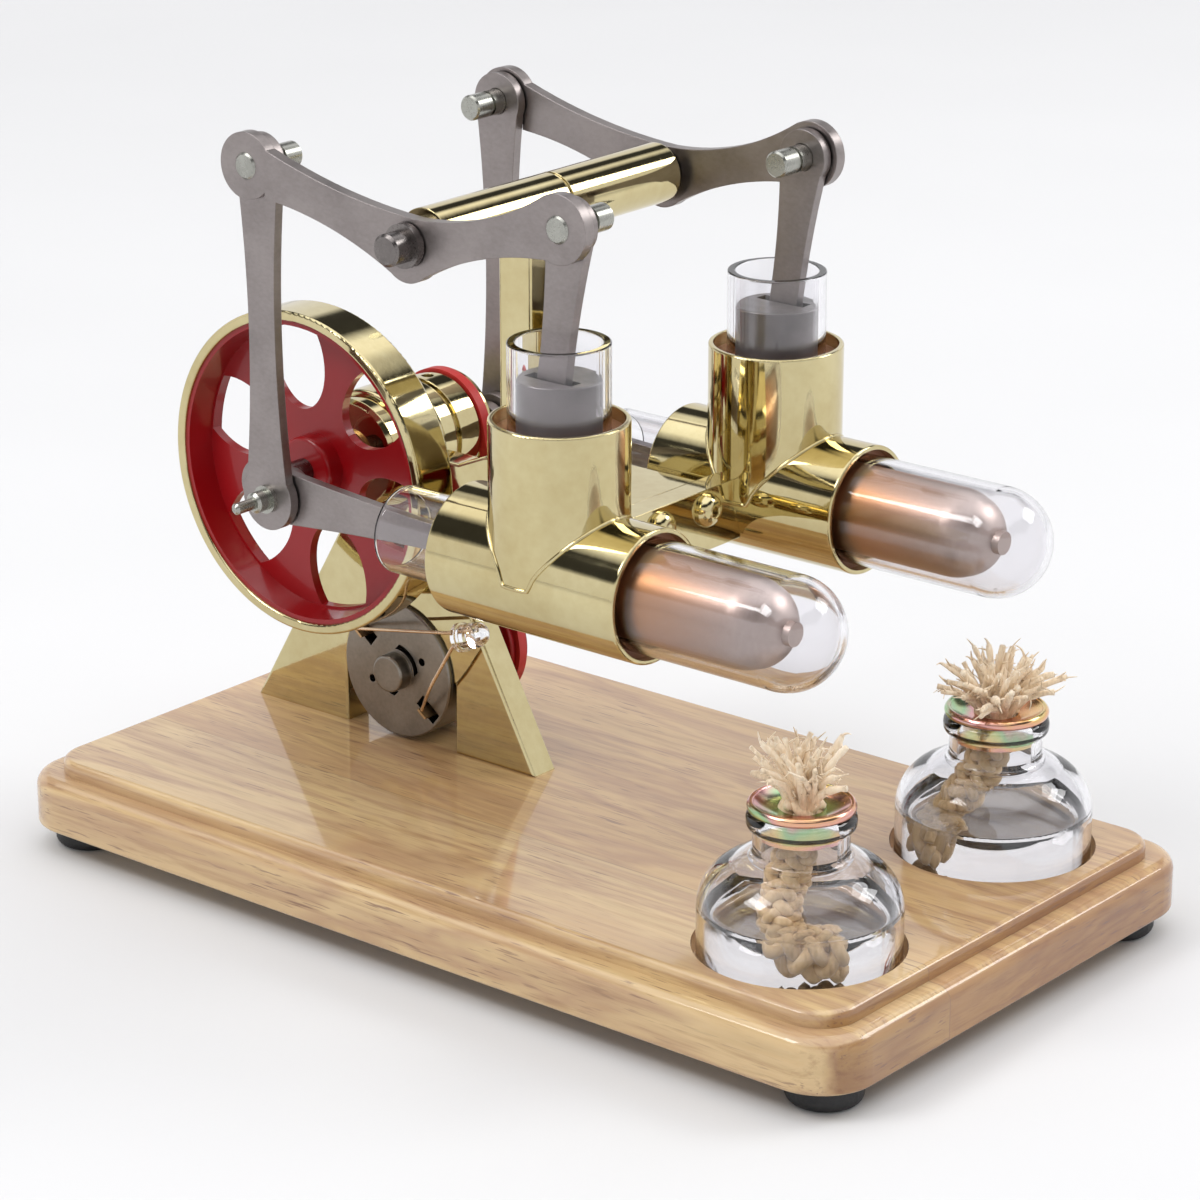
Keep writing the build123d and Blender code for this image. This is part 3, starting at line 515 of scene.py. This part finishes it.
# %% [markdown]
# ## The spirit in the bottles
# The frame holds the liquid as a plain plug with a hole for the wick. A real liquid
# climbs a little where it wets the glass and closes round the wick, so we turn a new
# one: a floor with round corners, a wall just inside the glass, and a top that rises
# in a small curve at the edge.


# %% Spirit
def make_spirit(name, centre):
    side = bottle_radius - wall - 0.04 * mm
    corner_width = 2.36 * mm
    corner_height = 1.4 * mm
    climb = 0.7 * mm
    climb_width = 2.2 * mm
    outline = [(0, wall), (side - corner_width, wall)]
    for step in range(1, 6):
        angle = math.radians(90 * step / 5)
        outline.append((side - corner_width * (1 - math.sin(angle)),
                        wall + corner_height * (1 - math.cos(angle))))
    outline.append((side, spirit_level + climb))
    for step in range(1, 7):
        inward = step / 6
        outline.append((side - climb_width * inward, spirit_level + climb * (1 - inward) ** 2.5))
    outline.append((0, spirit_level))
    corners, faces = turn_outline(outline, centre)
    return make_piece(name, corners, faces, "root", "spirit_fuel", ("burner_fuel",))


for side, centre in burners.items():
    make_spirit(f"{side}_spirit", centre)


# %% [markdown]
# ## The wick's rope
# Below the cap the wick is a thick braided cotton rope that drops into the bottle and
# curls along its floor. A braid is two families of strands that wind opposite ways
# and take turns to be on the outside. So each strand follows a helix round the rope's
# middle line, and its distance from that line swings in and out once per crossing.


# %% Rope route
def smooth_route(knots, steps):
    """A smooth line through a few knots, each span divided into steps."""
    spread = [2 * knots[0] - knots[1], *knots, 2 * knots[-1] - knots[-2]]
    route = []
    for start in range(1, len(spread) - 2):
        a, b, c, d = spread[start - 1:start + 3]
        for step in range(steps):
            t = step / steps
            route.append(0.5 * ((2 * b) + (c - a) * t + (2 * a - 5 * b + 4 * c - d) * t * t
                                + (3 * b - a - 3 * c + d) * t * t * t))
    route.append(spread[-2].copy())
    return route


def make_rope(name, centre, knots_mm):
    knots = [centre + Vector(k) * mm for k in knots_mm]
    middle = smooth_route(knots, 26)
    corners = []
    faces = []
    rope_radius = 2.7 * mm
    strand_radius = 1.05 * mm
    core_radius = 2.3 * mm
    weave_depth = 0.55 * mm
    pitch = 13.0 * mm
    pairs = 4
    for hand in (1, -1):
        for member in range(pairs):
            route = []
            side_way = Vector((0, 1, 0))
            travelled = 0.0
            for index, point in enumerate(middle):
                if index:
                    travelled += (point - middle[index - 1]).length
                along = (middle[min(index + 1, len(middle) - 1)] - middle[max(index - 1, 0)]).normalized()
                side_way = (side_way - along * side_way.dot(along)).normalized()
                other_way = along.cross(side_way)
                angle = hand * 2 * math.pi * travelled / pitch + 2 * math.pi * member / pairs
                swing = math.cos(2 * pairs * math.pi * travelled / pitch + (0 if hand > 0 else math.pi))
                reach = rope_radius + weave_depth * swing
                route.append(point + (side_way * math.cos(angle) + other_way * math.sin(angle)) * reach)
            lay_strand(corners, faces, route, [strand_radius] * len(route), 8)
    lay_strand(corners, faces, middle, [core_radius] * len(middle), 12)
    return make_piece(name, corners, faces, "root", "cotton_wick", ("burner_wicks",))


make_rope("rear_wick_rope", burners["rear"], [
    (0, 0, 31.5), (-0.1, 0, 27), (-1.2, -0.6, 21.5), (-3.6, -1.4, 16), (-6.4, -2.4, 10.8), (-8.4, -4.0, 7.0),
    (-6.8, -7.6, 5.9), (-3.0, -9.6, 5.7),
])
make_rope("front_wick_rope", burners["front"], [
    (0, 0, 31.5), (0, 0, 27), (-0.8, -0.6, 21.5), (-1.6, -2.2, 15.5), (-1.2, -4.4, 10.5), (1.6, -6.4, 6.8),
    (6.0, -5.4, 5.8), (9.4, -1.8, 5.6),
])


# %% [markdown]
# ## The frayed tuft
# Above the cap the braid has come undone into yarns, and the yarns into fibres. One
# mass of fur would look like felt, so the tuft is grown in two stages: a few dozen
# thick yarns that fan out of the hole, and from each yarn a spray of thin fibres that
# bend their own way. A fixed seed gives the same tuft each time.


# %% Tuft
def grow(start, heading, length, bend, steps):
    """A line that sets out along heading and turns gradually towards bend."""
    route = [start.copy()]
    way = heading.normalized()
    for _ in range(steps):
        way = (way + bend / steps).normalized()
        route.append(route[-1] + way * (length / steps))
    return route


def make_tuft(name, centre, seed, lean, yarns, spread, reach):
    """Yarns that fan out by spread and stand reach high, each with a spray of fibres."""
    chance = random.Random(seed)
    corners = []
    faces = []
    bundle_radius = 2.7 * mm
    root_height = cap_top - 2.6 * mm
    ceiling = wick_top - 0.3 * mm

    def kept(route, top):
        return [Vector((p.x, p.y, min(p.z, top))) for p in route]

    for _ in range(yarns):
        turn = chance.uniform(0, 2 * math.pi)
        out = math.sqrt(chance.random())
        outward = Vector((math.cos(turn), math.sin(turn), 0))
        start = centre + outward * out * bundle_radius + Vector((0, 0, root_height))
        heading = outward * out * 0.12 * spread + Vector((0, 0, 1)) + lean * 0.15
        length = reach * mm * chance.uniform(0.72, 1.05)
        bend = outward * chance.uniform(-0.2, 1.5) * spread + lean * 0.9
        bend += Vector([chance.uniform(-1.1, 1.1) for _ in range(3)])
        yarn = kept(grow(start, heading, length, bend, 10), ceiling - 1.2 * mm)
        thick = chance.uniform(0.55, 0.95) * mm
        knots = [1.0 + 0.16 * math.sin(i * 2.1 + turn * 3) for i in range(11)]
        radii = [thick * knots[i] * (1.0 - 0.4 * (i / 10) ** 2) for i in range(11)]
        lay_strand(corners, faces, yarn, radii, 8)
        for _ in range(5):
            place = chance.randint(3, 10)
            along = (yarn[place] - yarn[place - 1]).normalized()
            stray = Vector([chance.uniform(-1, 1) for _ in range(3)])
            fibre = grow(yarn[place], along + stray * 0.6, chance.uniform(1.2, 3.4) * mm,
                         stray * 1.2 + outward * 0.3, 6)
            fine = chance.uniform(0.16, 0.34) * mm
            lay_strand(corners, faces, kept(fibre, ceiling), [fine * (1 - 0.7 * i / 6) for i in range(7)], 4)
    return make_piece(name, corners, faces, "root", "cotton_wick", ("burner_wicks",))


make_tuft("front_wick_tuft", burners["front"], 7, Vector((-0.30, -0.05, 0)), 46, 0.6, 15.0)
make_tuft("rear_wick_tuft", burners["rear"], 12, Vector((-0.12, 0.0, 0)), 66, 1.1, 13.5)

# %% [markdown]
# ## The lit lamp
# Inside the clear lens a real lamp has a tiny steel cup on one lead, with the glowing
# chip in it, and a flat blade on the other lead. The lens is tilted on its wires, so
# we build the insides upright about the origin and then tilt and move them together.


# %% Lamp insides
def make_glow():
    glow = Finish("lamp_glow", Roughness=0.4)
    spots = glow.noise(2500, 1.0)
    glow.put(Base_Color=glow.colours(spots, (0.3, (1.0, 0.96, 0.86)), (0.7, (1.0, 1.0, 0.97))))
    glow.shader.inputs["Emission Color"].default_value = (1.0, 0.97, 0.90, 1.0)
    glow.shader.inputs["Emission Strength"].default_value = 30.0
    return glow


finishes["lamp_glow"] = make_glow()
lens_low, lens_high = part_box("led_lens")
lens_middle = (lens_low + lens_high) / 2
lens_tilt = math.radians(70)
lens_way = Vector((math.sin(lens_tilt), 0, math.cos(lens_tilt)))


def stand_in_lens(corners):
    """Tilt upright corners along the lens and move them to its middle."""
    turn = Vector((0, 0, 1)).rotation_difference(lens_way)
    return [lens_middle + turn @ Vector(c) for c in corners]


def make_lamp_cup():
    outline = [(0, -2.2), (0.35, -2.2), (0.35, -0.6), (0.95, -0.1),
               (1.05, 0.25), (0.9, 0.25), (0.45, -0.2), (0, -0.2)]
    corners, faces = turn_outline([(r * mm, z * mm) for r, z in outline], cup_middle, 32)
    return make_piece("lamp_cup", stand_in_lens(corners), faces, "root", "tinned_wire")


def make_lamp_blade():
    corners, faces = [], []
    route = [Vector((-1.1, 0, z)) * mm for z in (-2.2, -1.0, 0.2, 0.7)]
    lay_strand(corners, faces, route, [0.32 * mm, 0.32 * mm, 0.5 * mm, 0.3 * mm], 8)
    return make_piece("lamp_blade", stand_in_lens(corners), faces, "root", "tinned_wire")


def make_lamp_chip():
    outline = [(0, -0.15), (0.55, -0.1), (0.7, 0.15), (0.45, 0.5), (0, 0.6)]
    corners, faces = turn_outline([(r * mm, z * mm) for r, z in outline], cup_middle, 32)
    chip = make_piece("lamp_chip", stand_in_lens(corners), faces, "root", "lamp_glow")
    return chip


cup_middle = Vector((0.5 * mm, 0, 0))
make_lamp_cup()
make_lamp_blade()
make_lamp_chip()
print("lens middle in mm:", [round(v / mm, 2) for v in lens_middle])

# %% [markdown]
# ## Cast seams
# Where the upright cup meets the level barrel, the casting has a small round of metal
# that catches the light. The crossing of two cylinders is easy to write: at angle t
# round the cup, the barrel's surface stands at the height that its own circle gives for
# that distance from its axis. The cup is a touch wider than the barrel, so at its sides
# there is no such height and the round follows the cup's foot. A thin strand of metal
# laid half into that curve makes the round.


# %% Seams
def make_seam(side):
    low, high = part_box(f"{side}_cylinder_block")
    pin_low, pin_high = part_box(f"{side}_wrist_pin")
    rod_low, rod_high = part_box(f"{side}_displacer_rod")
    middle_y = (low.y + high.y) / 2
    cup_radius = (high.y - low.y) / 2
    axis_z = (rod_low.z + rod_high.z) / 2
    axis_x = (pin_low.x + pin_high.x) / 2
    barrel_radius = axis_z - low.z
    bead_radius = 0.4 * mm
    steps = 144
    route = []
    for step in range(steps + 1):
        t = 2 * math.pi * step / steps
        out = cup_radius * math.sin(t)
        rise = math.sqrt(max(barrel_radius ** 2 - out ** 2, 0.0))
        route.append(Vector((axis_x + cup_radius * math.cos(t), middle_y + out, axis_z + rise)))
    corners, faces = [], []
    lay_strand(corners, faces, route, [bead_radius] * len(route), 12)
    return make_piece(f"{side}_cast_seam", corners, faces, "root", "gold_plating")


for side in burners:
    make_seam(side)

# %% [markdown]
# ## Studio floor
# A plain pale sheet runs under and behind the engine. It sits a hair below the feet, so
# that the two surfaces never fight over the same place.


# %% Floor
def make_floor():
    paper = Finish("studio_paper", Roughness=0.75)
    mottle = paper.noise(6, 2.0)
    paper.put(Base_Color=paper.colours(mottle, (0.3, (0.70, 0.70, 0.70)), (0.7, (0.72, 0.72, 0.72))))
    paper.put(Roughness=paper.between(paper.noise(900, 2.0), 0.7, 0.85))
    finishes["studio_paper"] = paper
    half = 6.0
    level = frame_low.z - 0.05 * mm
    mesh = bpy.data.meshes.new("studio_floor")
    mesh.from_pydata([(-half, -half, level), (half, -half, level), (half, half, level), (-half, half, level)],
                     [], [(0, 1, 2, 3)])
    mesh.materials.append(paper.material)
    floor = bpy.data.objects.new("studio_floor", mesh)
    bpy.context.scene.collection.objects.link(floor)
    return floor


make_floor()

# %% [markdown]
# ## Sky
# Mirror plating shows whatever surrounds it, and in an all-white room gold turns to flat
# cream. So the sky holds a dark collar between a white wall and a bright ceiling, like
# the gap between a studio's reflectors, and it is that collar that draws the dark lines
# on the barrels and the wheel's rim. A little noise bends the collar, because a
# perfectly level one looks drawn with a ruler.


# %% Sky
def make_sky():
    sky = bpy.data.worlds.new("studio_sky")
    sky.use_nodes = True
    nodes = sky.node_tree.nodes
    links = sky.node_tree.links
    ways = nodes.new("ShaderNodeTexCoord")
    split = nodes.new("ShaderNodeSeparateXYZ")
    links.new(ways.outputs["Generated"], split.inputs["Vector"])
    patch = nodes.new("ShaderNodeTexNoise")
    patch.inputs["Scale"].default_value = 2.2
    patch.inputs["Detail"].default_value = 1.0
    links.new(ways.outputs["Generated"], patch.inputs["Vector"])
    shift = nodes.new("ShaderNodeMath")
    shift.operation = "MULTIPLY_ADD"
    shift.inputs[1].default_value = 0.35
    links.new(patch.outputs["Fac"], shift.inputs[0])
    links.new(split.outputs["Z"], shift.inputs[2])
    ramp = nodes.new("ShaderNodeValToRGB")
    links.new(shift.outputs["Value"], ramp.inputs["Fac"])
    # Each stop is a height and a brightness: white wall, dark collar, bright ceiling.
    stops = [(0.0, 0.92), (0.60, 1.0), (0.68, 0.05), (0.84, 0.05), (0.92, 1.5), (1.0, 1.7)]
    bar = ramp.color_ramp.elements
    while len(bar) < len(stops):
        bar.new(0.5)
    for mark, (position, level) in zip(bar, stops):
        mark.position = position
        mark.color = (level, level, level * 1.02, 1.0)
    links.new(ramp.outputs["Color"], nodes["Background"].inputs["Color"])
    nodes["Background"].inputs["Strength"].default_value = 1.0
    bpy.context.scene.world = sky


make_sky()

# %% [markdown]
# ## Lamps
# One wide soft lamp high at the left models the forms, and a second, weaker one at the
# right back separates the glass from the floor. Wide lamps give soft shadows and long
# highlights on the tubes.


# %% Soft lamps
def hang_lamp(name, place, target, width, power):
    light = bpy.data.lights.new(name, "AREA")
    light.shape = "RECTANGLE"
    light.size = width
    light.size_y = width * 0.7
    light.energy = power
    lamp = bpy.data.objects.new(name, light)
    lamp.location = place
    lamp.rotation_euler = (Vector(target) - Vector(place)).to_track_quat("-Z", "Y").to_euler()
    bpy.context.scene.collection.objects.link(lamp)
    return lamp


heart = (frame_low + frame_high) / 2
hang_lamp("key_lamp", heart + Vector((-0.45, -0.75, 0.95)), heart, 0.5, 5.0)
hang_lamp("back_lamp", heart + Vector((0.6, 0.8, 0.7)), heart, 0.5, 4.0)

# %% [markdown]
# ## Camera
# The portrait is taken from the front right and a little above, with a long lens that
# keeps the uprights nearly parallel. The camera's place is worked out from the angle,
# the height and the distance to a point near the middle of the engine.

# %% Camera
camera_turn = math.radians(39.46)
camera_rise = math.radians(19.43)
camera_distance = 0.770
aim = heart + Vector((4.4, -2.6, -13.9)) * mm
back = Vector((math.sin(camera_turn) * math.cos(camera_rise),
               -math.cos(camera_turn) * math.cos(camera_rise), math.sin(camera_rise)))
lens = bpy.data.cameras.new("portrait")
lens.lens = 123.5
lens.sensor_width = 36.0
lens.clip_start = 0.05
lens.clip_end = 30.0
camera = bpy.data.objects.new("portrait", lens)
camera.location = aim + back * camera_distance
camera.rotation_euler = (-back).to_track_quat("-Z", "Y").to_euler()
bpy.context.scene.collection.objects.link(camera)
bpy.context.scene.camera = camera
bpy.context.scene.view_settings.view_transform = "Standard"
print("camera at", [round(v, 3) for v in camera.location])
